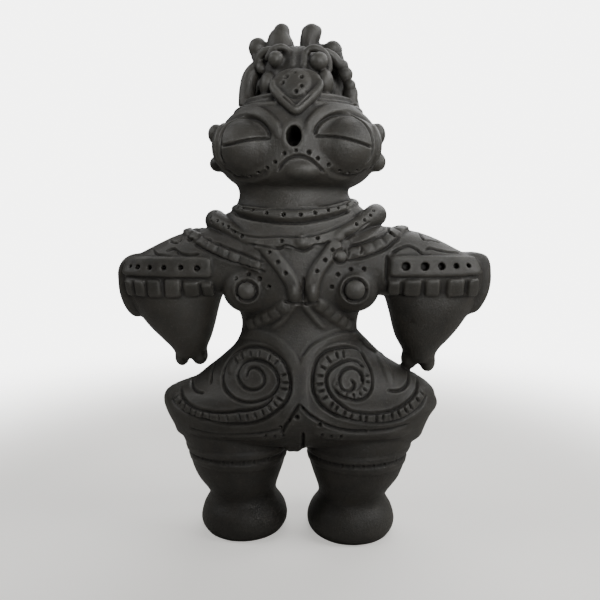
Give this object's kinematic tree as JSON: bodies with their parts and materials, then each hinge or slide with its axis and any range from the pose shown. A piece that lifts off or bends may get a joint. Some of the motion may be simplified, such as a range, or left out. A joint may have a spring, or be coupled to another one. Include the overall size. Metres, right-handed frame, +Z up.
{
  "type": "dogu figurine",
  "caption": "Standing goggle-eyed figurine in dark fired clay, with a pierced crown, laid-on collars, banded sleeves and cut spirals on wide hips",
  "frame": {"origin": "on the ground, under the middle of the figure's box", "axes": "+Z up from the soles to the horns, the figure faces -Y, +X to the viewer's right"},
  "size_m": [0.2642, 0.0964, 0.3603],
  "materials": {
    "fired_clay": "matt to softly satin dark grey-brown fired clay"
  },
  "bodies": {
    "root": {"dogu_figure": "fired_clay"}
  },
  "joints": []
}
